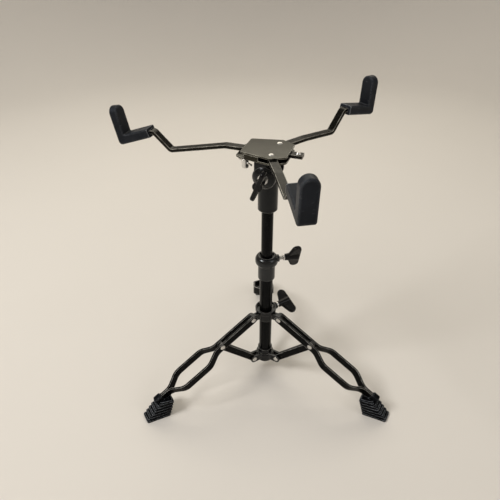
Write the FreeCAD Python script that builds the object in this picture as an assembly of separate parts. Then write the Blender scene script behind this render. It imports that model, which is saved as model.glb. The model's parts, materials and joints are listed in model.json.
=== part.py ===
"""Snare drum stand: folding tripod, telescopic column, tilter and three-armed basket.

Millimetres, +Z up. The origin is on the floor, under the column. +Y points to the rear leg.
"""
import FreeCAD, Part
import math
import os

os.makedirs("parts", exist_ok=True)

V = FreeCAD.Vector
ORIGIN = V(0, 0, 0)
X_AXIS = V(1, 0, 0)
Y_AXIS = V(0, 1, 0)
Z_AXIS = V(0, 0, 1)

# Clearances
running_gap = 0.3        # between pieces that move past each other
bore_gap = 0.06          # radial play of a pin or tube in its bore
overrun = 5.0            # how far a cutter passes the face it cuts

# Column tubes
lower_tube_radius = 9.5
lower_tube_wall = 1.2
lower_tube_length = 187.0
upper_tube_radius = 8.0
upper_tube_wall = 1.2
upper_tube_length = 214.0
guide_plug_length = 14.0
guide_spigot_length = 10.0
guide_radial_play = 0.08

# Tripod linkage, as radius from the column and height
left_leg_azimuth = 210.0
right_leg_azimuth = 330.0
rear_leg_azimuth = 90.0
collar_pivot_radius = 24.5
collar_pivot_height = 118.0
hub_pivot_radius = 22.6
hub_pivot_height = 30.5
leg_end_height = 28.8

# Leg strips, with places along the leg as shares of its length from the collar pivot
strip_thickness = 2.6
strip_height = 12.0
strip_gap = 6.6
strip_length = 184.0
brace_pivot_share = 0.334
loop_start_share = 0.397
loop_full_share = 0.500
loop_narrow_share = 0.766
loop_end_share = 0.875
loop_spacing = 33.0
strip_foot_spacing = 2.9
strip_bend_radius = 20.0

# Rivets of the tripod
rivet_radius = 2.2
rivet_head_radius = 4.0
rivet_head_height = 1.5

# Braces, pressed channels with rounded ends
brace_height = 10.8
brace_wall = 1.5
brace_web = 1.5

# Bottom hub
hub_radius = 14.0
hub_below_pivot = 8.5
hub_height = 23.0
hub_floor = 5.0
hub_skirt_height = 13.0
hub_sleeve_radius = 11.4
hub_ear_thickness = 2.6
hub_ear_radius = 6.4
hub_pin_radius = 2.0
hub_pin_inset = 5.0
hub_pin_azimuth = 0.0
hub_edge = 1.5

# Leg collar
collar_radius = 11.6
collar_below_pivot = 9.0
collar_above_pivot = 12.6
collar_cup_radius = 15.8
collar_cup_height = 6.6
collar_cup_wall = 1.8
collar_cup_depth = 4.2
collar_lug_radius = 5.6
collar_edge = 0.8

# Height clamp
clamp_ring_radius = 16.2
clamp_ring_height = 17.0
clamp_ring_overlap = 2.0
clamp_sleeve_radius = 12.2
clamp_sleeve_length = 25.0
clamp_edge = 7.5
clamp_sleeve_edge = 1.2
liner_radius = 10.6
liner_recess = 3.0

# Wing bolts of the height clamp and the leg collar
stud_radius = 3.0
stud_collar_radius = 4.4
stud_collar_length = 2.6
bolt_boss_radius = 5.4
height_boss_reach = 17.6
height_bolt_azimuth = 12.0
height_bolt_rise = 6.5
height_bolt_roll = 20.0
height_grip_start = 26.0
collar_boss_reach = 18.4
collar_bolt_azimuth = 30.0
collar_bolt_rise = 7.0
collar_bolt_roll = -74.0
collar_grip_start = 22.0

# Wing grip, along its bolt and across it
wing_neck_radius = 4.6
wing_hub_radius = 6.6
wing_hub_length = 20.5
wing_hub_edge = 1.2
wing_root_along = 9.5
wing_root_across = 2.0
wing_root_radius = 5.5
wing_tip_along = 16.0
wing_tip_across = 15.0
wing_tip_radius = 6.8
wing_thickness = 5.6
wing_edge = 2.0
wing_stud_depth = 9.0

# Tilter knuckle
tilt_height = 358.0
knuckle_radius = 13.1
knuckle_length = 55.0
knuckle_chamfer = 2.0
knuckle_head_radius = 13.0
knuckle_head_edge = 1.5
knuckle_pin_radius = 2.0
knuckle_pin_rise = 11.0
knuckle_pin_azimuth = 20.0
tube_below_tilt = 26.0

# Basket plates, x away from the sliding arm
basket_azimuth = -19.5
plate_rise = 31.5
plate_thickness = 2.0
plate_left = -29.5
plate_left_half = 20.6
bottom_plate_tab = 7.0
bottom_plate_tab_half = 17.0
plate_wide = 10.3
plate_wide_half = 28.7
plate_right = 27.7
plate_right_half = 19.2
plate_corner = 3.0
flange_from_share = 0.12
flange_to_share = 0.60
arm_thickness = 4.4
arm_width = 10.0

# Yoke, tilt bolt and nut
yoke_thickness = 3.0
yoke_gap = 31.4
yoke_ear_radius = 15.0
yoke_neck_half = 12.6
yoke_boss_height = 5.0
yoke_boss_inset = 0.8
yoke_seat_share = 0.66
yoke_bend = 4.0
yoke_rivet_offset = 7.6
yoke_rivet_radius = 2.2
yoke_rivet_head_radius = 4.0
yoke_rivet_head_height = 1.4
tilt_bolt_radius = 3.5
tilt_bolt_head_radius = 8.0
tilt_bolt_head_height = 4.0
tilt_washer_radius = 6.4
tilt_washer_thickness = 1.6
tilt_nut_roll = -21.0

# Thumb screw under the basket
thumb_place = -30.6
thumb_stud_radius = 2.5
thumb_nut_radius = 5.2
thumb_nut_height = 3.6
thumb_barrel_radius = 4.6
thumb_barrel_drop = 5.6
thumb_barrel_length = 12.0
thumb_barrel_edge = 0.8
thumb_bar_radius = 1.3
thumb_bar_half = 13.0
thumb_bar_drop = 4.5
thumb_roll = -34.0

# Arms, from the pivot or the plate's middle outwards
arm_pivot_x = 8.7
arm_pivot_y = 17.6
arm_rivet_radius = 2.6
arm_rivet_head_radius = 3.6
arm_rivet_head_height = 1.4
swing_arm_bend = 42.0
swing_arm_reach = 47.0
swing_arm_droop = 4.1
right_arm_azimuth = 37.8
front_arm_azimuth = 279.4
slide_arm_bend = 56.0
slide_arm_reach = 78.0
slide_arm_droop = 12.4
slide_arm_tail = 43.0
arm_bend_radius = 5.5
knee_along = 18.2
knee_rise = 27.5
corner_along = 65.5
corner_rise = 21.5
tip_along = 64.5
tip_rise = 62.5
stop_screw_inset = 6.0
stop_screw_radius = 2.0
stop_screw_head_radius = 3.4
stop_screw_head_height = 2.6

# Rubber grips
grip_width = 19.0
grip_wall = 3.8
grip_knee_inset = 4.0
grip_tip_cover = 3.0
grip_outer_corner = 5.0
grip_inner_corner = 1.0
grip_edge = 2.2
bend_tolerance_share = 0.01

# Rubber feet, stepped layers from the floor up, placed from the end of the strips
foot_heel_before = 11.2
foot_tip_past = 24.6
foot_layers = 6
foot_layer_height = 5.0
foot_tip_step = 4.6
foot_heel_step = 1.6
foot_heel_width = 27.0
foot_tip_width = 19.0
foot_corner = 2.4
foot_groove_height = 2.0
foot_groove_depth = 1.7
foot_socket_before = 7.5
foot_socket_past = 4.0
foot_socket_wall = 2.2
foot_socket_edge = 1.8

# Heights
hub_bottom = hub_pivot_height - hub_below_pivot
hub_top = hub_bottom + hub_height
hub_skirt_top = hub_bottom + hub_skirt_height
hub_pin_height = hub_top - hub_pin_inset
lower_tube_bottom = hub_bottom + hub_floor
lower_tube_top = lower_tube_bottom + lower_tube_length
collar_bottom = collar_pivot_height - collar_below_pivot
collar_top = collar_pivot_height + collar_above_pivot
collar_bolt_height = collar_pivot_height + collar_bolt_rise
clamp_ring_bottom = lower_tube_top - clamp_ring_overlap
clamp_ring_top = clamp_ring_bottom + clamp_ring_height
clamp_sleeve_bottom = lower_tube_top - clamp_sleeve_length
height_bolt_height = lower_tube_top + height_bolt_rise
upper_tube_top = tilt_height - tube_below_tilt
upper_tube_bottom = upper_tube_top - upper_tube_length
knuckle_bottom = tilt_height - knuckle_length
knuckle_pin_height = knuckle_bottom + knuckle_pin_rise
plate_top = tilt_height + plate_rise
arm_top = plate_top - plate_thickness - running_gap
arm_middle = arm_top - arm_thickness / 2
bottom_plate_top = arm_top - arm_thickness - running_gap
bottom_plate_bottom = bottom_plate_top - plate_thickness
thumb_nut_bottom = bottom_plate_bottom - thumb_nut_height
thumb_barrel_top = thumb_nut_bottom - thumb_barrel_drop

# Derived sizes
lower_tube_bore = lower_tube_radius - lower_tube_wall
upper_tube_bore = upper_tube_radius - upper_tube_wall
strip_spacing = strip_gap + strip_thickness
leg_width = strip_gap + 2 * strip_thickness
lug_thickness = strip_gap - 2 * running_gap
brace_width = lug_thickness
hub_ear_gap = brace_width + 2 * running_gap
yoke_outer = yoke_gap / 2 + yoke_thickness
yoke_seat = yoke_outer + yoke_boss_height * yoke_seat_share
leg_azimuths = {"left": left_leg_azimuth, "right": right_leg_azimuth, "rear": rear_leg_azimuth}
leg_slope = math.degrees(math.asin((collar_pivot_height - leg_end_height) / strip_length))
leg_drop = math.sin(math.radians(leg_slope))
leg_run = math.cos(math.radians(leg_slope))
leg_end_radius = collar_pivot_radius + strip_length * leg_run
brace_pivot_along = strip_length * brace_pivot_share
brace_end_radius = collar_pivot_radius + brace_pivot_along * leg_run
brace_end_height = collar_pivot_height - brace_pivot_along * leg_drop
brace_out = brace_end_radius - hub_pivot_radius
brace_up = brace_end_height - hub_pivot_height
brace_length = math.hypot(brace_out, brace_up)
brace_rise = math.degrees(math.atan2(brace_up, brace_out))


def turned(shape, azimuth):
    """Copy of a shape turned about the column."""
    copy = shape.copy()
    copy.rotate(ORIGIN, Z_AXIS, azimuth)
    return copy


def placed(shape, place, axis=Z_AXIS, angle=0):
    """Copy of a shape turned about an axis through the origin, then moved."""
    copy = shape.copy()
    copy.rotate(ORIGIN, axis, angle)
    copy.translate(place)
    return copy


def rod(radius, start, end):
    """Round rod between two points."""
    axis = end - start
    return Part.makeCylinder(radius, axis.Length, start, axis)


def ring(outer, inner, bottom, top):
    """Upright ring about the column."""
    body = rod(outer, V(0, 0, bottom), V(0, 0, top))
    return body.cut(rod(inner, V(0, 0, bottom - overrun), V(0, 0, top + overrun)))


def dome(radius, height, base, axis):
    """Low domed head on a flat base, cut from a larger ball."""
    ball = (radius ** 2 + height ** 2) / (2 * height)
    half_angle = math.asin(radius / ball) / 2
    middle = V(ball * math.sin(half_angle), 0, height - ball * (1 - math.cos(half_angle)))
    section = Part.Wire([
        Part.makeLine(ORIGIN, V(radius, 0, 0)),
        Part.Arc(V(radius, 0, 0), middle, V(0, 0, height)).toShape(),
        Part.makeLine(V(0, 0, height), ORIGIN),
    ])
    head = Part.Face(section).revolve(ORIGIN, Z_AXIS, 360)
    head.Placement = FreeCAD.Placement(base, FreeCAD.Rotation(Z_AXIS, axis))
    return head


def rivet(radius, head_radius, head_height, start, end):
    """Round rivet with a domed head outside each end."""
    axis = end - start
    heads = [dome(head_radius, head_height, end, axis), dome(head_radius, head_height, start, -axis)]
    return rod(radius, start, end).multiFuse(heads).removeSplitter()


def slab(corners, bottom, top, corner_radius=0):
    """Upright prism on a polygon, with its upright edges rounded."""
    points = [V(x, y, bottom) for x, y in corners]
    prism = Part.Face(Part.makePolygon(points + points[:1])).extrude(V(0, 0, top - bottom))
    if corner_radius:
        upright = [e for e in prism.Edges if abs(e.Vertexes[0].Z - e.Vertexes[-1].Z) > (top - bottom) / 2]
        prism = prism.makeFillet(corner_radius, upright)
    return prism


def stadium(radius, length, thickness):
    """Flat bar with round ends about two pivots on X, thick along Y."""
    half = thickness / 2
    ends = [rod(radius, V(x, -half, 0), V(x, half, 0)) for x in (0, length)]
    bar = Part.makeBox(length, thickness, 2 * radius, V(0, -half, -radius))
    return bar.multiFuse(ends).removeSplitter()


def tapered_lobe(root, root_radius, tip, tip_radius, thickness):
    """Flat lobe round two circles in the XZ plane, thick along Y."""
    line = tip - root
    lean = math.acos((root_radius - tip_radius) / line.Length)
    heading = math.atan2(line.z, line.x)
    points = []
    for centre, radius, side in ((root, root_radius, 1), (tip, tip_radius, 1), (tip, tip_radius, -1),
                                 (root, root_radius, -1)):
        angle = heading + side * lean
        points.append(centre + V(radius * math.cos(angle), 0, radius * math.sin(angle)))
    along = V(math.cos(heading), 0, math.sin(heading))
    outline = Part.Wire([
        Part.makeLine(points[0], points[1]),
        Part.Arc(points[1], tip + along * tip_radius, points[2]).toShape(),
        Part.makeLine(points[2], points[3]),
        Part.Arc(points[3], root - along * root_radius, points[0]).toShape(),
    ])
    lobe = Part.Face(outline).extrude(V(0, thickness, 0))
    lobe.translate(V(0, -thickness / 2, 0))
    return lobe


def bent_strip(points, bend_radius, thickness):
    """Face of a strip of even thickness that follows points in the XY plane, with round bends."""
    half = thickness / 2
    headings = [(b - a).normalize() for a, b in zip(points, points[1:])]
    sides = [Z_AXIS.cross(h) for h in headings]
    edges = []
    for offset in (half, -half):
        start = points[0] + sides[0] * offset
        for i in range(1, len(points) - 1):
            before, after = headings[i - 1], headings[i]
            turn = before.getAngle(after)
            sign = math.copysign(1, before.cross(after).z)
            reach = bend_radius * math.tan(turn / 2)
            centre = points[i] - before * reach + sides[i - 1] * (sign * bend_radius)
            outward = (sides[i - 1] + sides[i]).normalize() * -sign
            first = points[i] - before * reach + sides[i - 1] * offset
            middle = centre + outward * (bend_radius - sign * offset)
            last = points[i] + after * reach + sides[i] * offset
            edges.append(Part.makeLine(start, first))
            edges.append(Part.Arc(first, middle, last).toShape())
            start = last
        edges.append(Part.makeLine(start, points[-1] + sides[-1] * offset))
    edges.append(Part.makeLine(points[0] + sides[0] * half, points[0] - sides[0] * half))
    edges.append(Part.makeLine(points[-1] + sides[-1] * half, points[-1] - sides[-1] * half))
    return Part.Face(Part.Wire(Part.__sortEdges__(edges)))


def in_leg_frame(shape):
    """Move a shape from along, across and above the leg to its place in the plane of +X."""
    return placed(shape, V(collar_pivot_radius, 0, collar_pivot_height), Y_AXIS, leg_slope)


def leg_strip(side):
    """One flat strip of a leg, on edge, that bows out into the loop."""
    near = side * strip_spacing / 2
    wide = side * loop_spacing / 2
    close = side * strip_foot_spacing / 2
    end_radius = strip_height / 2
    bends = [(loop_start_share, near), (loop_full_share, wide)]
    bends += [(loop_narrow_share, wide), (loop_end_share, close)]
    line = [V(-end_radius, near, 0)] + [V(share * strip_length, across, 0) for share, across in bends]
    line.append(V(strip_length, close, 0))
    strip = bent_strip(line, strip_bend_radius, strip_thickness).extrude(V(0, 0, strip_height))
    strip.translate(V(0, 0, -end_radius))
    strip = strip.common(stadium(end_radius, strip_length + end_radius, 2 * loop_spacing))
    for along, play in ((0, bore_gap), (brace_pivot_along, 0)):
        strip = strip.cut(rod(rivet_radius + play, V(along, -loop_spacing, 0), V(along, loop_spacing, 0)))
    return in_leg_frame(strip)


def leg_rivet():
    """Brace rivet of a leg: a headed stub in each strip, clear of the brace between them."""
    stubs = []
    for side in (1, -1):
        inner = V(brace_pivot_along, side * strip_gap / 2, 0)
        outer = V(brace_pivot_along, side * leg_width / 2, 0)
        stub = rod(rivet_radius, inner, outer)
        stubs.append(stub.fuse(dome(rivet_head_radius, rivet_head_height, outer, outer - inner)))
    return in_leg_frame(Part.makeCompound(stubs))


def foot_layer(level):
    """One stepped layer of a foot: a rib above a narrower groove."""
    bottom = level * foot_layer_height
    heel = leg_end_radius - foot_heel_before - level * foot_heel_step
    toe = leg_end_radius + foot_tip_past - level * foot_tip_step
    rib = foot_block(heel, toe, 0, bottom, bottom + foot_layer_height - foot_groove_height)
    return rib.fuse(foot_block(heel, toe, foot_groove_depth, bottom, bottom + foot_layer_height))


def foot_block(heel, toe, inset, bottom, top):
    """Block that narrows from heel to toe, with round corners."""
    heel_half = foot_heel_width / 2 - inset
    toe_half = foot_tip_width / 2 - inset
    half = [(heel + inset, heel_half), (toe - inset, toe_half)]
    return slab(half + [(x, -y) for x, y in reversed(half)], bottom, top, foot_corner)


def foot():
    """Rubber foot: stepped layers with a socket round the strips."""
    width = strip_foot_spacing + strip_thickness + 2 * foot_socket_wall
    height = strip_height + 2 * foot_socket_wall
    length = foot_socket_before + foot_socket_past
    start = strip_length - foot_socket_before
    socket = Part.makeBox(length, width, height, V(start, -width / 2, -height / 2))
    socket = socket.makeFillet(foot_socket_edge, socket.Edges)
    layers = [foot_layer(level) for level in range(foot_layers)]
    body = in_leg_frame(socket).multiFuse(layers)
    slot_width = strip_foot_spacing + strip_thickness
    slot = Part.makeBox(strip_length, slot_width, strip_height, V(0, -slot_width / 2, -strip_height / 2))
    return body.cut(in_leg_frame(slot)).removeSplitter()


def brace():
    """Pressed channel between the hub and a leg, open below, with round ends."""
    end_radius = brace_height / 2
    bar = stadium(end_radius, brace_length, brace_width)
    trough_width = brace_width - 2 * brace_wall
    trough = Part.makeBox(brace_length + 2 * brace_height, trough_width, brace_height,
                          V(-brace_height, -trough_width / 2, end_radius - brace_web - brace_height))
    bar = bar.cut(trough)
    for along in (0, brace_length):
        bar = bar.cut(rod(rivet_radius + bore_gap, V(along, -brace_width, 0), V(along, brace_width, 0)))
    return placed(bar, V(hub_pivot_radius, 0, hub_pivot_height), Y_AXIS, -brace_rise)


def at_every_leg(shape):
    """Copies of a shape at the three leg azimuths."""
    return [turned(shape, azimuth) for azimuth in leg_azimuths.values()]


def cross_rod(radius, place_radius, height, half_length):
    """Rod across the leg's plane at a pivot."""
    return rod(radius, V(place_radius, -half_length, height), V(place_radius, half_length, height))


def cross_rivet(place_radius, height, half_length):
    """Headed rivet across the leg's plane at a pivot."""
    start = V(place_radius, -half_length, height)
    end = V(place_radius, half_length, height)
    return rivet(rivet_radius, rivet_head_radius, rivet_head_height, start, end)


def radial_rod(radius, start, end, azimuth, height):
    """Level rod that points away from the column."""
    return turned(rod(radius, V(start, 0, height), V(end, 0, height)), azimuth)


def bottom_hub():
    """Hub at the foot of the lower tube: a sleeve on a skirt, with a pair of ears for each brace."""
    skirt = rod(hub_radius, V(0, 0, hub_bottom), V(0, 0, hub_skirt_top))
    skirt = skirt.makeFillet(hub_edge, [e for e in skirt.Edges if e.Closed])
    sleeve = rod(hub_sleeve_radius, V(0, 0, hub_bottom), V(0, 0, hub_top))
    ear = stadium(hub_ear_radius, hub_pivot_radius, hub_ear_gap + 2 * hub_ear_thickness)
    ear.translate(V(0, 0, hub_pivot_height))
    body = skirt.multiFuse([sleeve] + at_every_leg(ear))
    slot = Part.makeBox(hub_pivot_radius, hub_ear_gap, 2 * hub_pivot_height,
                        V(hub_radius, -hub_ear_gap / 2, 0))
    bore = rod(lower_tube_radius, V(0, 0, lower_tube_bottom), V(0, 0, hub_top + overrun))
    hole = cross_rod(rivet_radius, hub_pivot_radius, hub_pivot_height, hub_radius)
    return body.cut([bore, hub_pin()] + at_every_leg(slot) + at_every_leg(hole)).removeSplitter()


def hub_pin():
    """Pin through the hub and the lower tube."""
    across = radial_rod(hub_pin_radius, -hub_radius, hub_radius, hub_pin_azimuth, hub_pin_height)
    return across.common(rod(hub_sleeve_radius, ORIGIN, V(0, 0, hub_top)))


def hub_rivets():
    """Rivets that the braces turn on."""
    half = hub_ear_gap / 2 + hub_ear_thickness
    return Part.makeCompound(at_every_leg(cross_rivet(hub_pivot_radius, hub_pivot_height, half)))


def leg_collar():
    """Collar that slides on the lower tube: a sleeve under an open cup, with leg lugs and a bolt boss."""
    sleeve = rod(collar_radius, V(0, 0, collar_bottom), V(0, 0, collar_top))
    cup = rod(collar_cup_radius, V(0, 0, collar_top - collar_cup_height), V(0, 0, collar_top))
    cup = cup.makeFillet(collar_edge, [e for e in cup.Edges if e.Closed])
    lug = stadium(collar_lug_radius, collar_pivot_radius, lug_thickness)
    lug.translate(V(0, 0, collar_pivot_height))
    boss = radial_rod(bolt_boss_radius, 0, collar_boss_reach, collar_bolt_azimuth, collar_bolt_height)
    body = sleeve.multiFuse(at_every_leg(lug) + [cup, boss])
    bore = rod(lower_tube_radius + bore_gap, V(0, 0, collar_bottom - overrun), V(0, 0, collar_top + overrun))
    hollow = rod(collar_cup_radius - collar_cup_wall, V(0, 0, collar_top - collar_cup_depth),
                 V(0, 0, collar_top + overrun))
    hole = cross_rod(rivet_radius, collar_pivot_radius, collar_pivot_height, collar_radius)
    thread = radial_rod(stud_radius + bore_gap, 0, 2 * collar_boss_reach,
                        collar_bolt_azimuth, collar_bolt_height)
    return body.cut([bore, hollow, thread] + at_every_leg(hole)).removeSplitter()


def collar_rivets():
    """Rivets that the legs turn on, clear of the strips."""
    half = leg_width / 2 + running_gap
    return Part.makeCompound(at_every_leg(cross_rivet(collar_pivot_radius, collar_pivot_height, half)))


def height_clamp():
    """Casting on top of the lower tube: a bulged ring on a sleeve, with a boss for its bolt."""
    ring_body = rod(clamp_ring_radius, V(0, 0, clamp_ring_bottom), V(0, 0, clamp_ring_top))
    ring_body = ring_body.makeFillet(clamp_edge, [e for e in ring_body.Edges if e.Closed])
    sleeve = rod(clamp_sleeve_radius, V(0, 0, clamp_sleeve_bottom), V(0, 0, clamp_ring_top - clamp_edge))
    lower_edge = [e for e in sleeve.Edges if e.Closed and e.BoundBox.ZMax < clamp_ring_bottom]
    sleeve = sleeve.makeFillet(clamp_sleeve_edge, lower_edge)
    boss = radial_rod(bolt_boss_radius, 0, height_boss_reach, height_bolt_azimuth, height_bolt_height)
    body = ring_body.multiFuse([sleeve, boss])
    tube_bore = rod(lower_tube_radius, V(0, 0, clamp_sleeve_bottom - overrun), V(0, 0, lower_tube_top))
    liner_bore = rod(liner_radius, V(0, 0, lower_tube_top), V(0, 0, clamp_ring_top + overrun))
    return body.cut([tube_bore, liner_bore, height_bolt_hole()]).removeSplitter()


def height_bolt_hole():
    """Threaded hole of the height bolt, right through to the upper tube."""
    return radial_rod(stud_radius + bore_gap, 0, 2 * height_boss_reach,
                      height_bolt_azimuth, height_bolt_height)


def clamp_liner():
    """Plastic bush in the clamp that the upper tube slides in."""
    bush = ring(liner_radius, upper_tube_radius + bore_gap, lower_tube_top, clamp_ring_top - liner_recess)
    return bush.cut(height_bolt_hole())


def wing_grip(bore_radius, bore_depth):
    """T-shaped wing grip on the X axis: a hub that swells from its neck, and a bar with round ends."""
    hub = Part.makeCone(wing_neck_radius, wing_hub_radius, wing_hub_length, ORIGIN, X_AXIS)
    hub = hub.makeFillet(wing_hub_edge, [e for e in hub.Edges if e.Closed])
    tips = [V(wing_tip_along, 0, side * wing_tip_across) for side in (1, -1)]
    roots = [V(wing_root_along, 0, side * wing_root_across) for side in (1, -1)]
    lobes = [tapered_lobe(root, wing_root_radius, tip, wing_tip_radius, wing_thickness)
             for root, tip in zip(roots, tips)]
    bar = tapered_lobe(tips[0], wing_tip_radius, tips[1], wing_tip_radius, wing_thickness)
    wings = [wing.makeFillet(wing_edge, outline_edges(wing)) for wing in lobes + [bar]]
    grip = hub.multiFuse(wings)
    return grip.cut(rod(bore_radius, V(-overrun, 0, 0), V(bore_depth, 0, 0))).removeSplitter()


def outline_edges(lobe):
    """Edges round the two flat faces of a lobe."""
    return [e for e in lobe.Edges if abs(e.Vertexes[0].Y - e.Vertexes[-1].Y) < running_gap]


def radial_wing(start, azimuth, height, roll):
    """Wing grip on a radial bolt, turned about the bolt."""
    grip = wing_grip(stud_radius, wing_stud_depth)
    grip.rotate(ORIGIN, X_AXIS, roll)
    grip.translate(V(start, 0, height))
    return turned(grip, azimuth)


def radial_stud(tip_radius, grip_start, azimuth, height):
    """Silver stud from the tube that it presses to the bottom of its grip, with a collar at the grip."""
    stud = radial_rod(stud_radius, tip_radius + running_gap, grip_start + wing_stud_depth, azimuth, height)
    collar = radial_rod(stud_collar_radius, grip_start - stud_collar_length, grip_start, azimuth, height)
    return stud.fuse(collar).removeSplitter()


def guide_plug():
    """Plastic plug at the foot of the upper tube, which runs in the lower tube."""
    head_bottom = upper_tube_bottom - guide_plug_length
    head_top = upper_tube_bottom - running_gap
    head = rod(lower_tube_bore - guide_radial_play, V(0, 0, head_bottom), V(0, 0, head_top))
    spigot_top = upper_tube_bottom + guide_spigot_length
    spigot = rod(upper_tube_bore - bore_gap, V(0, 0, head_bottom), V(0, 0, spigot_top))
    return head.fuse(spigot).removeSplitter()


def knuckle_pin():
    """Pin through the knuckle and the upper tube."""
    across = radial_rod(knuckle_pin_radius, -knuckle_radius, knuckle_radius,
                        knuckle_pin_azimuth, knuckle_pin_height)
    return across.common(rod(knuckle_radius, ORIGIN, V(0, 0, upper_tube_top)))


def tilter_knuckle():
    """Knuckle on the upper tube: a sleeve that ends in a round head across the tilt bolt."""
    sleeve = rod(knuckle_radius, V(0, 0, knuckle_bottom), V(0, 0, tilt_height))
    lower_edge = [e for e in sleeve.Edges if e.Closed and e.BoundBox.ZMax < upper_tube_top]
    sleeve = sleeve.makeChamfer(knuckle_chamfer, lower_edge)
    half = yoke_gap / 2 - running_gap
    head = tilt_rod(knuckle_head_radius, -half, half)
    head = head.makeFillet(knuckle_head_edge, [e for e in head.Edges if e.Closed])
    bore = rod(upper_tube_radius, V(0, 0, knuckle_bottom - overrun), V(0, 0, upper_tube_top))
    bolt_hole = tilt_rod(tilt_bolt_radius + bore_gap, -yoke_gap, yoke_gap)
    return sleeve.fuse(head).cut([bore, bolt_hole, knuckle_pin()]).removeSplitter()


def tilt_rod(radius, start, end):
    """Rod on the tilt axis."""
    return in_basket(rod(radius, V(0, start, tilt_height), V(0, end, tilt_height)))


def in_basket(shape):
    """Turn a shape from the basket's own axes to its place."""
    return turned(shape, basket_azimuth)


def plate_corners(tab=()):
    """Outline of a basket plate, with the corners of a tab at its left end if it has one."""
    half = list(tab)
    half += [(plate_left, plate_left_half), (plate_wide, plate_wide_half), (plate_right, plate_right_half)]
    return half + [(x, -y) for x, y in reversed(half)]


def arm_pivots():
    """Places of the two arm rivets, back first."""
    return [(arm_pivot_x, arm_pivot_y), (arm_pivot_x, -arm_pivot_y)]


def arm_rivet_holes():
    """Holes for the arm rivets through both plates."""
    return [rod(arm_rivet_radius, V(x, y, bottom_plate_bottom - overrun), V(x, y, plate_top + overrun))
            for x, y in arm_pivots()]


def yoke_rivet_places():
    """Places of the rivets between the yoke and the bottom plate."""
    return [-yoke_rivet_offset, yoke_rivet_offset]


def top_plate():
    """Top plate of the basket."""
    plate = slab(plate_corners(), plate_top - plate_thickness, plate_top, plate_corner)
    return in_basket(plate.cut(arm_rivet_holes()))


def bottom_plate():
    """Bottom plate, with a tab for the thumb screw and a flange up each long side for the top plate."""
    tab = [(plate_left - bottom_plate_tab, bottom_plate_tab_half)]
    plate = slab(plate_corners(tab), bottom_plate_bottom, bottom_plate_top, plate_corner)
    edge = V(plate_wide - plate_left, plate_wide_half - plate_left_half, 0)
    along = V(edge).normalize()
    inward = V(along.y, -along.x, 0)
    start = V(plate_left, plate_left_half, 0) + edge * flange_from_share
    end = V(plate_left, plate_left_half, 0) + edge * flange_to_share
    corners = [start, end, end + inward * plate_thickness, start + inward * plate_thickness]
    flanges = [slab([(p.x, side * p.y) for p in corners], bottom_plate_top, plate_top - plate_thickness)
               for side in (1, -1)]
    plate = plate.multiFuse(flanges).removeSplitter()
    cuts = arm_rivet_holes()
    cuts.append(rod(thumb_stud_radius + bore_gap, V(thumb_place, 0, 0), V(thumb_place, 0, plate_top)))
    cuts += [rod(yoke_rivet_radius, V(x, 0, 0), V(x, 0, plate_top)) for x in yoke_rivet_places()]
    return in_basket(plate.cut(cuts))


def arm_rivets():
    """Rivets that hold the plates together and carry the swinging arms, flush below."""
    rivets = []
    for x, y in arm_pivots():
        top = V(x, y, plate_top)
        shank = rod(arm_rivet_radius, V(x, y, bottom_plate_bottom), top)
        head = dome(arm_rivet_head_radius, arm_rivet_head_height, top, Z_AXIS)
        rivets.append(shank.fuse(head).removeSplitter())
    return in_basket(Part.makeCompound(rivets))


def tilter_yoke():
    """Yoke under the basket: a U of plate with round ears on the tilt bolt."""
    top = bottom_plate_bottom
    middle = yoke_outer - yoke_thickness / 2
    web = top - yoke_thickness / 2
    ear_end = tilt_height - yoke_ear_radius
    line = [V(-middle, ear_end, 0), V(-middle, web, 0), V(middle, web, 0), V(middle, ear_end, 0)]
    bent = bent_strip(line, yoke_bend, yoke_thickness).extrude(V(0, 0, 2 * yoke_ear_radius))
    bent.rotate(ORIGIN, X_AXIS, 90)
    bent.rotate(ORIGIN, Z_AXIS, 90)
    bent.translate(V(-yoke_ear_radius, 0, 0))
    ear = rod(yoke_ear_radius, V(0, -yoke_outer, tilt_height), V(0, yoke_outer, tilt_height))
    upper = Part.makeBox(2 * yoke_neck_half, 2 * yoke_outer, top - tilt_height,
                         V(-yoke_neck_half, -yoke_outer, tilt_height))
    bent = bent.common(ear.fuse(upper))
    boss_radius = yoke_ear_radius - yoke_boss_inset
    bosses = [dome(boss_radius, yoke_boss_height, V(0, side * yoke_outer, tilt_height), Y_AXIS * side)
              for side in (1, -1)]
    bent = bent.multiFuse(bosses)
    cuts = [rod(tilt_bolt_radius, V(0, -2 * yoke_outer, tilt_height), V(0, 2 * yoke_outer, tilt_height))]
    for side, seat_radius in ((1, tilt_bolt_head_radius), (-1, tilt_washer_radius)):
        cuts.append(rod(seat_radius + running_gap, V(0, side * yoke_seat, tilt_height),
                        V(0, side * 2 * yoke_outer, tilt_height)))
    cuts += [rod(yoke_rivet_radius, V(x, 0, tilt_height), V(x, 0, plate_top)) for x in yoke_rivet_places()]
    return in_basket(bent.cut(cuts).removeSplitter())


def yoke_rivets():
    """Rivets between the yoke and the bottom plate, flush above and headed below."""
    rivets = []
    for x in yoke_rivet_places():
        start = V(x, 0, bottom_plate_bottom - yoke_thickness)
        shank = rod(yoke_rivet_radius, start, V(x, 0, bottom_plate_top))
        rivets.append(shank.fuse(dome(yoke_rivet_head_radius, yoke_rivet_head_height, start, -Z_AXIS)))
    return in_basket(Part.makeCompound(rivets))


def tilt_nut_start():
    """Where the wing nut starts on the tilt bolt, past the washer."""
    return yoke_seat + tilt_washer_thickness + running_gap


def tilt_bolt():
    """Tilt bolt, with its head behind the yoke and its end inside the wing nut."""
    end = V(0, -(tilt_nut_start() + wing_stud_depth), tilt_height)
    start = V(0, yoke_seat, tilt_height)
    head = dome(tilt_bolt_head_radius, tilt_bolt_head_height, start, Y_AXIS)
    return in_basket(rod(tilt_bolt_radius, start, end).fuse(head))


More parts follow.
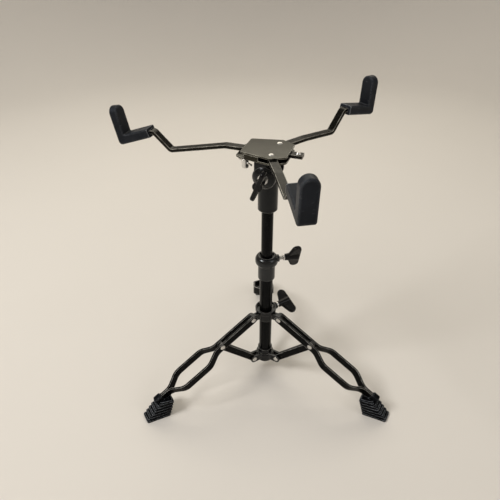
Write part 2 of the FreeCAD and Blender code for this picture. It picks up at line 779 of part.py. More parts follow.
def tilt_washer():
    """Silver washer between the yoke and the wing nut."""
    washer = tilt_rod(tilt_washer_radius, -yoke_seat, -(yoke_seat + tilt_washer_thickness))
    return washer.cut(tilt_rod(tilt_bolt_radius, 0, -2 * yoke_outer))


def tilt_wing_nut():
    """Black wing nut on the tilt bolt."""
    nut = wing_grip(tilt_bolt_radius + bore_gap, wing_stud_depth + running_gap)
    nut.rotate(ORIGIN, X_AXIS, tilt_nut_roll)
    nut = placed(nut, V(0, -tilt_nut_start(), tilt_height), Z_AXIS, -90)
    return in_basket(nut)


def thumb_screw_nut():
    """Round weld nut under the bottom plate."""
    nut = rod(thumb_nut_radius, V(thumb_place, 0, thumb_nut_bottom), V(thumb_place, 0, bottom_plate_bottom))
    thread = rod(thumb_stud_radius + bore_gap, V(thumb_place, 0, 0), V(thumb_place, 0, plate_top))
    return in_basket(nut.cut(thread))


def thumb_screw():
    """Silver thumb screw that locks the sliding arm from below, with a cross bar."""
    barrel_bottom = thumb_barrel_top - thumb_barrel_length
    stud = rod(thumb_stud_radius, V(0, 0, barrel_bottom), V(0, 0, bottom_plate_top))
    barrel = rod(thumb_barrel_radius, V(0, 0, barrel_bottom), V(0, 0, thumb_barrel_top))
    barrel = barrel.makeFillet(thumb_barrel_edge, [e for e in barrel.Edges if e.Closed])
    bar_height = thumb_barrel_top - thumb_bar_drop
    bar = rod(thumb_bar_radius, V(-thumb_bar_half, 0, bar_height), V(thumb_bar_half, 0, bar_height))
    screw = stud.multiFuse([barrel, bar]).removeSplitter()
    return in_basket(placed(screw, V(thumb_place, 0, 0), Z_AXIS, thumb_roll))


def hook_points(bend, reach, droop):
    """Line of an arm past its bend: elbow, knee, corner and tip."""
    angle = math.radians(droop)
    points = []
    for along, rise in ((0, 0), (knee_along, knee_rise), (corner_along, corner_rise), (tip_along, tip_rise)):
        along += reach
        points.append(V(bend + along * math.cos(angle) + rise * math.sin(angle),
                        rise * math.cos(angle) - along * math.sin(angle), 0))
    return points


def arm_bar(line):
    """Flat bar bent to a line in its own upright plane, level at the start."""
    bar = bent_strip(line, arm_bend_radius, arm_thickness).extrude(V(0, 0, arm_width))
    bar.rotate(ORIGIN, X_AXIS, 90)
    bar.translate(V(0, arm_width / 2, arm_middle))
    return bar


def grip_on(line):
    """Rubber grip round the level leg and the upright leg of an arm's hook, with soft edges."""
    knee, corner, tip = line[-3:]
    level = (corner - knee).normalize()
    upright = (tip - corner).normalize()
    path = [knee + level * grip_knee_inset, corner, tip + upright * grip_tip_cover]
    thickness = arm_thickness + 2 * grip_wall
    mitre = (Z_AXIS.cross(level) + Z_AXIS.cross(upright)) * (thickness / 2 / (1 + level.dot(upright)))
    first, last = [Z_AXIS.cross(heading) * (thickness / 2) for heading in (level, upright)]
    inner = [path[0] + first, corner + mitre, path[2] + last]
    outline = inner + [path[2] - last, corner - mitre, path[0] - first]
    sleeve = slab([(p.x, p.y) for p in outline], -grip_width / 2, grip_width / 2)
    for place, radius in ((corner - mitre, grip_outer_corner), (corner + mitre, grip_inner_corner)):
        sleeve = sleeve.makeFillet(radius, upright_edges(sleeve, place))
    sleeve = sleeve.cut(round_end_cutter(path[-1], upright, thickness))
    rims = [e for e in sleeve.Edges if not any(runs_along(e, way) for way in (Z_AXIS, first, last))]
    sleeve = sleeve.makeFillet(grip_edge, rims)
    sleeve.rotate(ORIGIN, X_AXIS, 90)
    sleeve.translate(V(0, 0, arm_middle))
    return sleeve


def runs_along(edge, way):
    """Whether the ends of an edge lie one behind the other along a direction."""
    chord = edge.Vertexes[-1].Point - edge.Vertexes[0].Point
    return math.sin(chord.getAngle(way)) < bend_tolerance_share


def upright_edges(prism, place):
    """Edge of an upright prism over a place."""
    line = rod(running_gap, place - Z_AXIS * grip_width, place + Z_AXIS * grip_width)
    return [e for e in prism.Edges if all(line.isInside(v.Point, 0, True) for v in e.Vertexes)]


def round_end_cutter(end, heading, thickness):
    """What is cut from the end of a flat leg to leave it half round."""
    half = grip_width / 2
    side = Z_AXIS.cross(heading)
    centre = end - heading * half
    block = Part.makeBox(2 * thickness, half + overrun, grip_width + overrun,
                         V(-thickness, 0, -(grip_width + overrun) / 2))
    block = block.cut(Part.makeCylinder(half, 4 * thickness, V(-2 * thickness, 0, 0), X_AXIS))
    block.Placement = FreeCAD.Placement(centre, FreeCAD.Rotation(-side, heading, Z_AXIS, "XYZ"))
    return block


def swing_line():
    """Line of a swinging arm from its pivot to its tip."""
    start = [ORIGIN, V(swing_arm_bend, 0, 0)]
    return start + hook_points(swing_arm_bend, swing_arm_reach, swing_arm_droop)


def slide_line():
    """Line of the sliding arm from its tail to its tip."""
    start = [V(-slide_arm_tail, 0, 0), V(slide_arm_bend, 0, 0)]
    return start + hook_points(slide_arm_bend, slide_arm_reach, slide_arm_droop)


def swing_arm():
    """Swinging arm with a round end on its rivet, pointing along +X from the pivot."""
    bar = arm_bar(swing_line())
    end = rod(arm_width / 2, V(0, 0, arm_top - arm_thickness), V(0, 0, arm_top))
    hole = rod(arm_rivet_radius + bore_gap, V(0, 0, 0), V(0, 0, plate_top))
    return bar.fuse(end).cut(hole).removeSplitter()


def slide_arm():
    """Sliding arm, pointing along +X from the plate's middle."""
    hole = rod(stop_screw_radius, V(-stop_place(), 0, 0), V(-stop_place(), 0, plate_top))
    return arm_bar(slide_line()).cut(hole)


def stop_place():
    """Distance of the stop screw from the plate's middle."""
    return slide_arm_tail - stop_screw_inset


def stop_screw():
    """Silver screw in the tail that stops the arm at the plate."""
    shank = rod(stop_screw_radius, V(-stop_place(), 0, arm_top - arm_thickness), V(-stop_place(), 0, arm_top))
    head = dome(stop_screw_head_radius, stop_screw_head_height, V(-stop_place(), 0, arm_top), Z_AXIS)
    return shank.fuse(head).removeSplitter()


def on_pivot(shape, pivot, azimuth):
    """Place a swinging arm's piece on its rivet at an azimuth."""
    place = V(pivot[0], pivot[1], 0)
    place = FreeCAD.Rotation(Z_AXIS, basket_azimuth).multVec(place)
    return placed(shape, place, Z_AXIS, azimuth)


def gripped(line):
    """Grip with the bar's own space cut out of it."""
    return grip_on(line).cut(arm_bar(line))


parts = {
    "lower_tube": ring(lower_tube_radius, lower_tube_bore, lower_tube_bottom, lower_tube_top).cut(hub_pin()),
    "bottom_hub": bottom_hub(),
    "hub_pin": hub_pin(),
    "hub_rivets": hub_rivets(),
    "height_clamp": height_clamp(),
    "clamp_liner": clamp_liner(),
    "height_wing_grip": radial_wing(height_grip_start, height_bolt_azimuth, height_bolt_height,
                                    height_bolt_roll),
    "height_wing_stud": radial_stud(upper_tube_radius, height_grip_start, height_bolt_azimuth,
                                    height_bolt_height),
    "leg_collar": leg_collar(),
    "collar_rivets": collar_rivets(),
    "collar_wing_grip": radial_wing(collar_grip_start, collar_bolt_azimuth, collar_bolt_height,
                                    collar_bolt_roll),
    "collar_wing_stud": radial_stud(lower_tube_radius, collar_grip_start, collar_bolt_azimuth,
                                    collar_bolt_height),
    "tube_guide_plug": guide_plug(),
    "upper_tube": ring(upper_tube_radius, upper_tube_bore, upper_tube_bottom,
                       upper_tube_top).cut(knuckle_pin()),
    "tilter_knuckle": tilter_knuckle(),
    "knuckle_pin": knuckle_pin(),
    "tilter_yoke": tilter_yoke(),
    "yoke_rivets": yoke_rivets(),
    "basket_bottom_plate": bottom_plate(),
    "basket_top_plate": top_plate(),
    "arm_rivets": arm_rivets(),
    "tilt_bolt": tilt_bolt(),
    "tilt_washer": tilt_washer(),
    "tilt_wing_nut": tilt_wing_nut(),
    "thumb_screw_nut": thumb_screw_nut(),
    "basket_thumb_screw": thumb_screw(),
    "sliding_arm": turned(slide_arm(), basket_azimuth + 180),
    "sliding_arm_grip": turned(gripped(slide_line()), basket_azimuth + 180),
    "sliding_arm_stop_screw": turned(stop_screw(), basket_azimuth + 180),
}

for name, pivot, azimuth in zip(("right", "front"), arm_pivots(), (right_arm_azimuth, front_arm_azimuth)):
    parts[name + "_arm"] = on_pivot(swing_arm(), pivot, azimuth)
    parts[name + "_arm_grip"] = on_pivot(gripped(swing_line()), pivot, azimuth)

for name, azimuth in leg_azimuths.items():
    parts[name + "_leg_strip_a"] = turned(leg_strip(1), azimuth)
    parts[name + "_leg_strip_b"] = turned(leg_strip(-1), azimuth)
    parts[name + "_leg_rivet"] = turned(leg_rivet(), azimuth)
    parts[name + "_brace"] = turned(brace(), azimuth)
    parts[name + "_foot"] = turned(foot(), azimuth)

for name, shape in parts.items():
    shape.exportStep("parts/" + name + ".step")
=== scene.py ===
"""Looks of the snare drum stand: finishes, threads, floor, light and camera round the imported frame."""
import bpy
import json
import math
from mathutils import Matrix, Vector


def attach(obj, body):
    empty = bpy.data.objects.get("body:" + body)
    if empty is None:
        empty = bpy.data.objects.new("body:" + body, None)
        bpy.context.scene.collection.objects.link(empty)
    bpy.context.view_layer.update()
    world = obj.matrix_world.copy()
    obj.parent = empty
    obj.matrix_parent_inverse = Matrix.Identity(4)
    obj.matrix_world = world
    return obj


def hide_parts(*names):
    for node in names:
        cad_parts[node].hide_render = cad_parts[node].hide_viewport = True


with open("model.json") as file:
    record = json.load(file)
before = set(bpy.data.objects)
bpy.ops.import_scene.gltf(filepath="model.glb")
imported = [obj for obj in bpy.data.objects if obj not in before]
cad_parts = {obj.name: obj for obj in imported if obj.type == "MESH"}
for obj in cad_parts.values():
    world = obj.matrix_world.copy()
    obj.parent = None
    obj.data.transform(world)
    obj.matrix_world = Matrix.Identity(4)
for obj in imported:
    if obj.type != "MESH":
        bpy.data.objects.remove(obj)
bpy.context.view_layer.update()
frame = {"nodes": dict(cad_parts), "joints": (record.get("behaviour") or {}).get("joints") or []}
nodes = frame["nodes"]
joints = {joint["name"]: joint for joint in frame["joints"]}

Z_AXIS = Vector((0, 0, 1))

# Finish of each node, by the end or the whole of its name; the first that fits counts
FINISH_NAMES = {
    "plastic": ("height_wing_grip", "collar_wing_grip", "tilt_wing_nut"),
    "steel": ("_rivets", "_leg_rivet", "_wing_stud", "tilt_bolt", "tilt_washer", "_thumb_screw",
              "_stop_screw"),
    "grip": ("_arm_grip",),
    "foot": ("_foot",),
    "clamp": ("height_clamp",),
    "casting": ("bottom_hub", "leg_collar", "tilter_knuckle", "tilter_yoke"),
    "nylon": ("clamp_liner", "tube_guide_plug"),
    "tube": ("lower_tube", "upper_tube"),
    "plate": ("_plate",),
    "arm": ("_arm",),
}
OTHER_FINISH = "strip"

# Camera, as found from the photograph
CAMERA_PLACE = (-0.0225, -0.5417, 0.6319)
CAMERA_PITCH = math.radians(36.073)
CAMERA_YAW = math.radians(0.104)
CAMERA_ROLL = math.radians(-0.352)
CAMERA_LENS = 34.65
CAMERA_SENSOR = 36.0

# Soft boxes, with their sizes in metres and their power in watts, and the even light round them
LIGHT_AIM = (0.0, 0.0, 0.22)
LIGHTS = {
    "key": dict(place=(-1.35, -0.55, 1.75), width=0.7, height=0.7, power=27.0, colour=(1.0, 0.98, 0.95)),
    "fill": dict(place=(1.15, -0.6, 1.2), width=0.7, height=0.7, power=3.0, colour=(0.97, 0.98, 1.0)),
    "back": dict(place=(0.0, 1.2, 1.35), width=1.8, height=0.8, power=11.4, colour=(1.0, 0.94, 0.80)),
}
SURROUND_COLOUR = (0.80, 0.76, 0.70)
SURROUND_STRENGTH = 0.45

# Studs of the two wing bolts
STUD_RADIUS = 0.0030
STUD_DEPTH = 0.0090
STUD_COLLAR_RADIUS = 0.0044
STUD_COLLAR_LENGTH = 0.0026
STUD_CHAMFER = 0.0005
STUD_COLLAR_SIDES = 48
THREAD_PITCH = 0.0010
THREAD_DEPTH = 0.0005
THREAD_SIDES = 28
THREAD_ROWS_PER_TURN = 8

# Round floor and backdrop
FLOOR_CENTRE = 0.05
FLOOR_RADIUS = 1.6
SWEEP_RADIUS = 1.0
SWEEP_STEPS = 24
BACKDROP_TOP = 3.0
BACKDROP_SIDES = 128
FLOOR_COLOURS = ((0.68, 0.65, 0.61), (0.72, 0.69, 0.65))

# Ranges of values: all of nought to one, and the middle of a noise, from narrow to wide
WHOLE = (0.0, 1.0)
MIDDLE = (0.35, 0.65)
WIDE_MIDDLE = (0.3, 0.7)

# How far the paint's roughness strays to either side
GLOSS_BELOW = 0.05
GLOSS_ABOVE = 0.06

# Rubber: colour of its sheen, and the painted shade of its grooves and inner corners
RUBBER_TINT = (0.78, 0.88, 1.0)
RUBBER_GROOVE_SHADE = (0.0010, 0.0011, 0.0014)

# Slope from which the pale edges of dust and painted highlight begin, so low that they lie anywhere, and the
# band over which they set in
ANY_SLOPE = -2.0
SLOPE_BAND = 0.15

# Samples of the nodes that round edges and find grooves
BEVEL_SAMPLES = 6
GROOVE_SAMPLES = 8


def add(tree, kind, **values):
    """New shader node with some of its inputs set by name."""
    node = tree.nodes.new(kind)
    for name, value in values.items():
        node.inputs[name.replace("_", " ")].default_value = value
    return node


def noise(tree, place, scale, detail=4.0, stretch=None):
    """Noise over the rest position in metres, stretched along an axis if asked."""
    if stretch:
        mapping = add(tree, "ShaderNodeMapping", Scale=stretch)
        tree.links.new(place, mapping.inputs["Vector"])
        place = mapping.outputs["Vector"]
    texture = add(tree, "ShaderNodeTexNoise", Scale=scale, Detail=detail)
    tree.links.new(place, texture.inputs["Vector"])
    return texture.outputs["Fac"]


def remap(tree, value, source, target):
    """A value carried from one range to another, and held inside it."""
    node = add(tree, "ShaderNodeMapRange",
               From_Min=source[0], From_Max=source[1], To_Min=target[0], To_Max=target[1])
    tree.links.new(value, node.inputs["Value"])
    return node.outputs["Result"]


def combine(tree, operation, first, second):
    """Two linked values put through one operation."""
    node = tree.nodes.new("ShaderNodeMath")
    node.operation = operation
    for socket, value in zip(node.inputs, (first, second)):
        tree.links.new(value, socket)
    return node.outputs["Value"]


def blend_colour(tree, factor, first, second):
    """Colour between two others, each a colour or a link."""
    node = tree.nodes.new("ShaderNodeMix")
    node.data_type = "RGBA"
    tree.links.new(factor, node.inputs["Factor"])
    for name, colour in (("A", first), ("B", second)):
        socket = [s for s in node.inputs if s.name == name and s.type == "RGBA"][0]
        if isinstance(colour, tuple):
            socket.default_value = colour + (1.0,)
        else:
            tree.links.new(colour, socket)
    return [s for s in node.outputs if s.type == "RGBA"][0]


def rounded_normal(tree, radius):
    """Normal that rounds sharp edges by a small radius."""
    bevel = add(tree, "ShaderNodeBevel", Radius=radius)
    bevel.samples = BEVEL_SAMPLES
    return bevel.outputs["Normal"]


def edge_mask(tree, rounded, reach):
    """One on the sharp edges and nought on the flats."""
    geometry = tree.nodes.new("ShaderNodeNewGeometry")
    compare = tree.nodes.new("ShaderNodeVectorMath")
    compare.operation = "DOT_PRODUCT"
    tree.links.new(rounded, compare.inputs[0])
    tree.links.new(geometry.outputs["Normal"], compare.inputs[1])
    return remap(tree, compare.outputs["Value"], source=(1.0 - reach, 1.0), target=(1.0, 0.0))


def openness(tree, distance):
    """One where the surface is open and nought in grooves and inner corners."""
    shade = add(tree, "ShaderNodeAmbientOcclusion", Distance=distance)
    shade.samples = GROOVE_SAMPLES
    shade.only_local = True
    return remap(tree, shade.outputs["AO"], source=(0.55, 0.92), target=WHOLE)


def facing_up(tree, normal, slope):
    """Nought below one upward share of a normal, in the piece's own frame, and one a little above it."""
    turn = tree.nodes.new("ShaderNodeVectorTransform")
    turn.vector_type = "NORMAL"
    turn.convert_from = "WORLD"
    turn.convert_to = "OBJECT"
    tree.links.new(normal, turn.inputs["Vector"])
    shares = tree.nodes.new("ShaderNodeSeparateXYZ")
    tree.links.new(turn.outputs["Vector"], shares.inputs["Vector"])
    return remap(tree, shares.outputs["Z"], source=(slope, slope + SLOPE_BAND), target=WHOLE)


def bump(tree, height, strength, distance, normal):
    """Bump from a height, on top of another normal."""
    node = add(tree, "ShaderNodeBump", Strength=strength, Distance=distance)
    tree.links.new(height, node.inputs["Height"])
    tree.links.new(normal, node.inputs["Normal"])
    return node.outputs["Normal"]


def new_finish(name, **values):
    """Material with its shader's constant values set, its tree, its shader and the rest position."""
    material = bpy.data.materials.new(name)
    material.use_nodes = True
    tree = material.node_tree
    shader = tree.nodes["Principled BSDF"]
    for socket, value in values.items():
        shader.inputs[socket.replace("_", " ")].default_value = value
    place = tree.nodes.new("ShaderNodeTexCoord").outputs["Object"]
    return material, tree, shader, place


def connect(tree, shader, colour, roughness, normal):
    """Colour, roughness and normal linked to the shader."""
    tree.links.new(colour, shader.inputs["Base Color"])
    tree.links.new(roughness, shader.inputs["Roughness"])
    tree.links.new(normal, shader.inputs["Normal"])


def painted(name, dark, pale, pale_marks, specular, tint, roughness, peel_scale, edge_radius):
    """Baked black enamel: slight orange peel, uneven gloss, fine dust specks, and pale edges that are partly
    rubbed paint and partly painted highlight.
    """
    material, tree, shader, place = new_finish(
        name, Specular_IOR_Level=specular, Specular_Tint=tint + (1.0,))
    rounded = rounded_normal(tree, edge_radius)
    cloud = noise(tree, place, scale=38.0)
    specks = remap(tree, noise(tree, place, scale=1500.0, detail=2.0), source=(0.70, 0.78), target=(0.0, 0.5))
    # Pale edges broken up by noise: partly rubbed paint, partly painted highlight where the edges would catch
    # the light
    edge_breaks = remap(tree, noise(tree, place, scale=130.0, detail=7.0), source=(0.34, 0.60), target=(0.22, 1.0))
    edge_marks = combine(tree, "MULTIPLY", edge_mask(tree, rounded, reach=0.04), edge_breaks)
    colour = blend_colour(tree, remap(tree, cloud, MIDDLE, WHOLE), dark, pale)
    colour = blend_colour(tree, specks, colour, pale_marks)
    colour = blend_colour(tree, edge_marks, colour, pale_marks)
    glosses = (roughness - GLOSS_BELOW, roughness + GLOSS_ABOVE)
    gloss = remap(tree, noise(tree, place, scale=90.0), WIDE_MIDDLE, glosses)
    peel = noise(tree, place, peel_scale, detail=3.0)
    normal = bump(tree, peel, strength=0.35, distance=0.00008, normal=rounded)
    connect(tree, shader, colour, gloss, normal)
    return material


def moulded_plastic(name, dark, pale, pale_marks):
    """Hard black plastic with a fine moulded grain and faint flow marks."""
    material, tree, shader, place = new_finish(name, Specular_IOR_Level=0.22)
    rounded = rounded_normal(tree, radius=0.0005)
    flow = noise(tree, place, scale=60.0, detail=5.0, stretch=(1.0, 1.0, 3.5))
    colour = blend_colour(tree, remap(tree, flow, MIDDLE, WHOLE), dark, pale)
    edge_breaks = remap(tree, noise(tree, place, scale=300.0, detail=5.0), source=(0.45, 0.7), target=(0.0, 0.5))
    edge_marks = combine(tree, "MULTIPLY", edge_mask(tree, rounded, reach=0.12), edge_breaks)
    colour = blend_colour(tree, edge_marks, colour, pale_marks)
    gloss = remap(tree, noise(tree, place, scale=140.0), WIDE_MIDDLE, target=(0.14, 0.26))
    grain = noise(tree, place, scale=2200.0, detail=2.0)
    normal = bump(tree, grain, strength=0.25, distance=0.00008, normal=rounded)
    connect(tree, shader, colour, gloss, normal)
    return material


def black_rubber(name, specular, dark, pale, dust_and_highlight_colour, edge_radius, edge_reach, dust_and_highlight_slope):
    """Matte bluish-black rubber with a fine grain, painted shade in its grooves, pale scuffs, and pale edges
    that are partly dust and partly painted highlight.
    """
    material, tree, shader, place = new_finish(
        name, Specular_IOR_Level=specular, Specular_Tint=RUBBER_TINT + (1.0,))
    rounded = rounded_normal(tree, edge_radius)
    bloom = noise(tree, place, scale=26.0, detail=6.0)
    colour = blend_colour(tree, remap(tree, bloom, source=(0.35, 0.7), target=WHOLE), dark, pale)
    scuff = noise(tree, place, scale=180.0, detail=8.0, stretch=(1.0, 1.0, 2.6))
    patches = remap(tree, scuff, source=(0.32, 0.62), target=(0.2, 1.0))
    # Pale edges, partly dust and partly painted highlight; on the feet only where edges face upward and would
    # catch the light
    dust_and_highlight_mask = combine(tree, "MULTIPLY", edge_mask(tree, rounded, edge_reach), patches)
    dust_and_highlight_mask = combine(tree, "MULTIPLY", dust_and_highlight_mask, facing_up(tree, rounded, dust_and_highlight_slope))
    streaks = remap(tree, scuff, source=(0.64, 0.76), target=(0.0, 0.16))
    opened = openness(tree, distance=0.003)
    marks = combine(tree, "MULTIPLY", combine(tree, "MAXIMUM", dust_and_highlight_mask, streaks), opened)
    # Painted shade: grooves and inner corners darkened towards the groove shade colour
    colour = blend_colour(tree, opened, RUBBER_GROOVE_SHADE, colour)
    colour = blend_colour(tree, marks, colour, dust_and_highlight_colour)
    matt = remap(tree, noise(tree, place, scale=70.0), WIDE_MIDDLE, target=(0.36, 0.52))
    grain = noise(tree, place, scale=1700.0, detail=3.0)
    normal = bump(tree, grain, strength=0.4, distance=0.00012, normal=rounded)
    connect(tree, shader, colour, matt, normal)
    return material


def silver_steel(name, dark, pale, dull):
    """Bright plated steel with fine brushing and a few dull spots."""
    material, tree, shader, place = new_finish(name, Metallic=1.0)
    rounded = rounded_normal(tree, radius=0.0003)
    brushing = noise(tree, place, scale=900.0, detail=3.0, stretch=(1.0, 1.0, 0.2))
    spots = remap(tree, noise(tree, place, scale=420.0), source=(0.6, 0.75), target=(0.0, 0.6))
    colour = blend_colour(tree, brushing, dark, pale)
    colour = blend_colour(tree, spots, colour, dull)
    gloss = remap(tree, brushing, WIDE_MIDDLE, target=(0.18, 0.34))
    normal = bump(tree, brushing, strength=0.15, distance=0.00005, normal=rounded)
    connect(tree, shader, colour, gloss, normal)
    return material


def black_nylon(name, dark, pale):
    """Dull black nylon with fine turning marks."""
    material, tree, shader, place = new_finish(name, Specular_IOR_Level=0.35)
    rings = noise(tree, place, scale=600.0, detail=3.0, stretch=(0.1, 0.1, 1.0))
    colour = blend_colour(tree, rings, dark, pale)
    gloss = remap(tree, rings, WIDE_MIDDLE, target=(0.42, 0.6))
    rounded = rounded_normal(tree, radius=0.0004)
    normal = bump(tree, rings, strength=0.2, distance=0.0001, normal=rounded)
    connect(tree, shader, colour, gloss, normal)
    return material


def pale_floor(name, colours):
    """Matt pale floor with a faint cloud."""
    material, tree, shader, place = new_finish(name, Roughness=0.75, Specular_IOR_Level=0.2)
    cloud = noise(tree, place, scale=1.7, detail=3.0)
    tree.links.new(blend_colour(tree, cloud, *colours), shader.inputs["Base Color"])
    return material


def finish_for(name):
    """Finish of a CAD node, from its name."""
    for finish, names in FINISH_NAMES.items():
        if name.endswith(names):
            return finishes[finish]
    return finishes[OTHER_FINISH]


def ring(origin, axis, along, radii):
    """Ring of points round an axis at a place along it, with a radius for each point."""
    turn = Z_AXIS.rotation_difference(axis)
    points = []
    for side, radius in enumerate(radii):
        angle = 2.0 * math.pi * side / len(radii)
        points.append(origin + turn @ Vector((radius * math.cos(angle), radius * math.sin(angle), along)))
    return points


def ring_mesh(name, rings, closed_top=True):
    """Mesh through rings of points, closed at its start and, unless told not to, at its end."""
    sides = len(rings[0])
    points = [point for row in rings for point in row]
    faces = []
    for row in range(len(rings) - 1):
        for side in range(sides):
            here = row * sides + side
            beside = row * sides + (side + 1) % sides
            faces.append((here, beside, beside + sides, here + sides))
    faces.append(tuple(reversed(range(sides))))
    if closed_top:
        faces.append(tuple(range(len(points) - sides, len(points))))
    mesh = bpy.data.meshes.new(name)
    mesh.from_pydata(points, [], faces)
    mesh.update()
    return mesh


def thread_mesh(name, start, end):
    """Threaded rod between two points: rings whose radius follows one V groove along a helix."""
    axis = end - start
    length = axis.length
    rows = max(2, round(length / THREAD_PITCH * THREAD_ROWS_PER_TURN))
    rings = []
    for row in range(rows + 1):
        along = length * row / rows
        taper = min(1.0, along / THREAD_PITCH, (length - along) / THREAD_PITCH)
        radii = []
        for side in range(THREAD_SIDES):
            phase = (along / THREAD_PITCH - side / THREAD_SIDES) % 1.0
            groove = THREAD_DEPTH * (1.0 - abs(2.0 * phase - 1.0))
            radii.append(STUD_RADIUS - groove * taper)
        rings.append(ring(start, axis, along, radii))
    return ring_mesh(name, rings)


def lathe(name, origin, axis, profile, sides, closed_top=True):
    """Turned piece from places along an axis and the radius at each."""
    rings = [ring(origin, axis, along, [radius] * sides) for along, radius in profile]
    return ring_mesh(name, rings, closed_top)


def span_on_axis(name, origin, axis):
    """Lowest and highest place of a CAD node along an axis."""
    places = [(vertex.co - origin).dot(axis) for vertex in nodes[name].data.vertices]
    return min(places), max(places)


def threaded_stud(name, node, joint, body):
    """Wing bolt's stud with a real thread and a turned collar at its grip, in place of the plain node."""
    origin = Vector(joint["pos_m"])
    axis = Vector(joint["axis"]).normalized()
    start, end = span_on_axis(node, origin, axis)
    thread = thread_mesh(name, origin + axis * start, origin + axis * end)
    grip_start = end - STUD_DEPTH
    collar_start = grip_start - STUD_COLLAR_LENGTH
    collar_name = name + "_collar"
    collar_profile = [
        (collar_start, STUD_COLLAR_RADIUS - STUD_CHAMFER),
        (collar_start + STUD_CHAMFER, STUD_COLLAR_RADIUS),
        (grip_start - STUD_CHAMFER, STUD_COLLAR_RADIUS),
        (grip_start, STUD_COLLAR_RADIUS - STUD_CHAMFER),
    ]
    collar = lathe(collar_name, origin, axis, collar_profile, STUD_COLLAR_SIDES)
    for mesh, label in ((thread, name), (collar, collar_name)):
        mesh.materials.append(finishes["steel"])
        piece = bpy.data.objects.new(label, mesh)
        bpy.context.scene.collection.objects.link(piece)
        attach(piece, body)
        if mesh is thread:
            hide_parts(node)


def place_floor():
    """Plain pale round floor that sweeps up into a backdrop on all sides."""
    profile = [(0.0, FLOOR_CENTRE), (0.0, FLOOR_RADIUS)]
    for step in range(1, SWEEP_STEPS + 1):
        angle = math.pi / 2 * step / SWEEP_STEPS
        rise = SWEEP_RADIUS * (1.0 - math.cos(angle))
        profile.append((rise, FLOOR_RADIUS + SWEEP_RADIUS * math.sin(angle)))
    profile.append((BACKDROP_TOP, FLOOR_RADIUS + SWEEP_RADIUS))
    mesh = lathe("floor", Vector(), Z_AXIS, profile, BACKDROP_SIDES, closed_top=False)
    mesh.shade_smooth()
    mesh.materials.append(pale_floor("pale_floor", FLOOR_COLOURS))
    floor = bpy.data.objects.new("floor", mesh)
    bpy.context.scene.collection.objects.link(floor)


def soft_light(name, place, width, height, power, colour):
    """Soft box aimed at the middle of the stand."""
    lamp = bpy.data.lights.new(name, "AREA")
    lamp.shape = "RECTANGLE"
    lamp.size = width
    lamp.size_y = height
    lamp.energy = power
    lamp.color = colour
    box = bpy.data.objects.new(name, lamp)
    box.location = place
    box.rotation_euler = (Vector(LIGHT_AIM) - Vector(place)).to_track_quat("-Z", "Y").to_euler()
    bpy.context.scene.collection.objects.link(box)


def light_studio():
    """Soft boxes and an even, slightly warm surround."""
    for name, values in LIGHTS.items():
        soft_light(name, **values)
    world = bpy.data.worlds.new("surround")
    world.use_nodes = True
    background = world.node_tree.nodes["Background"]
    background.inputs["Color"].default_value = SURROUND_COLOUR + (1.0,)
    background.inputs["Strength"].default_value = SURROUND_STRENGTH
    bpy.context.scene.world = world


def place_camera():
    """Camera at the photograph's place and angle."""
    right = Vector((math.cos(CAMERA_YAW), math.sin(CAMERA_YAW), 0))
    ahead = Vector((-math.sin(CAMERA_YAW), math.cos(CAMERA_YAW), 0))
    forward = ahead * math.cos(CAMERA_PITCH) - Z_AXIS * math.sin(CAMERA_PITCH)
    up = ahead * math.sin(CAMERA_PITCH) + Z_AXIS * math.cos(CAMERA_PITCH)
    across = right * math.cos(CAMERA_ROLL) + up * math.sin(CAMERA_ROLL)
    upright = up * math.cos(CAMERA_ROLL) - right * math.sin(CAMERA_ROLL)
    data = bpy.data.cameras.new("camera")
    data.lens = CAMERA_LENS
    data.sensor_width = CAMERA_SENSOR
    camera = bpy.data.objects.new("camera", data)
    turn = Matrix((across, upright, -forward)).transposed()
    camera.matrix_world = Matrix.Translation(CAMERA_PLACE) @ turn.to_4x4()
    bpy.context.scene.collection.objects.link(camera)
    bpy.context.scene.camera = camera


# Paint of all castings, of which the clamp has more gloss
CASTING_PAINT = dict(
    dark=(0.0012, 0.0012, 0.0013), pale=(0.0030, 0.0030, 0.0032), pale_marks=(0.22, 0.215, 0.205),
    tint=(0.92, 0.96, 1.0), roughness=0.20, peel_scale=420.0, edge_radius=0.0010)
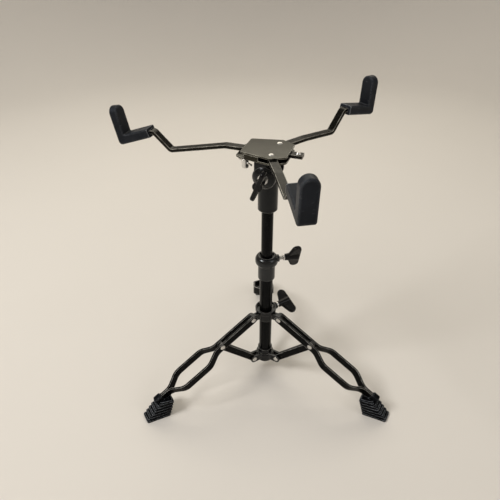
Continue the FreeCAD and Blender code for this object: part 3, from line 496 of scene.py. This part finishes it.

# All finishes, with linear colours and edge radii in metres; in each paint the pale colour of the specks is
# dust, and on the edges it is partly rubbed paint and partly painted highlight
finishes = {
    "plate": painted(
        "black_plate", dark=(0.0026, 0.0025, 0.0021), pale=(0.0056, 0.0053, 0.0044), pale_marks=(0.44, 0.425, 0.37),
        specular=0.28, tint=(1.0, 0.95, 0.66), roughness=0.19, peel_scale=700.0, edge_radius=0.0010),
    "arm": painted(
        "black_arm", dark=(0.0022, 0.0021, 0.0018), pale=(0.0046, 0.0044, 0.0037), pale_marks=(0.50, 0.48, 0.42),
        specular=0.11, tint=(1.0, 0.96, 0.82), roughness=0.19, peel_scale=700.0, edge_radius=0.0012),
    "strip": painted(
        "black_strip", dark=(0.0014, 0.0014, 0.0014), pale=(0.0032, 0.0032, 0.0032), pale_marks=(0.66, 0.65, 0.62),
        specular=0.05, tint=(1.0, 1.0, 1.0), roughness=0.17, peel_scale=700.0, edge_radius=0.0007),
    "tube": painted(
        "black_tube", dark=(0.0012, 0.0012, 0.0012), pale=(0.0028, 0.0028, 0.0028), pale_marks=(0.20, 0.195, 0.18),
        specular=0.08, tint=(0.92, 0.96, 1.0), roughness=0.16, peel_scale=500.0, edge_radius=0.0009),
    "casting": painted("black_casting", specular=0.28, **CASTING_PAINT),
    "clamp": painted("black_clamp", specular=0.46, **CASTING_PAINT),
    "plastic": moulded_plastic(
        "black_plastic", dark=(0.0022, 0.0022, 0.0025), pale=(0.0050, 0.0050, 0.0054),
        pale_marks=(0.07, 0.07, 0.07)),
    "grip": black_rubber(
        "grip_rubber", specular=0.14, dark=(0.0070, 0.0080, 0.0108), pale=(0.0145, 0.0164, 0.0215),
        dust_and_highlight_colour=(0.330, 0.345, 0.370), edge_radius=0.0015, edge_reach=0.06, dust_and_highlight_slope=ANY_SLOPE),
    "foot": black_rubber(
        "foot_rubber", specular=0.06, dark=(0.0012, 0.0013, 0.0018), pale=(0.0030, 0.0033, 0.0042),
        dust_and_highlight_colour=(0.390, 0.420, 0.460), edge_radius=0.0009, edge_reach=0.05, dust_and_highlight_slope=0.20),
    "steel": silver_steel(
        "silver_steel", dark=(0.60, 0.59, 0.57), pale=(0.78, 0.77, 0.75), dull=(0.40, 0.39, 0.37)),
    "nylon": black_nylon("black_nylon", dark=(0.010, 0.010, 0.011), pale=(0.026, 0.026, 0.027)),
}
for name, node in nodes.items():
    node.data.materials.clear()
    node.data.materials.append(finish_for(name))

threaded_stud("height_stud_thread", "height_wing_stud", joints["height_bolt_turn"], "height_wing")
threaded_stud("collar_stud_thread", "collar_wing_stud", joints["collar_bolt_turn"], "collar_wing")

place_floor()
light_studio()
place_camera()
bpy.context.scene.view_settings.view_transform = "Standard"
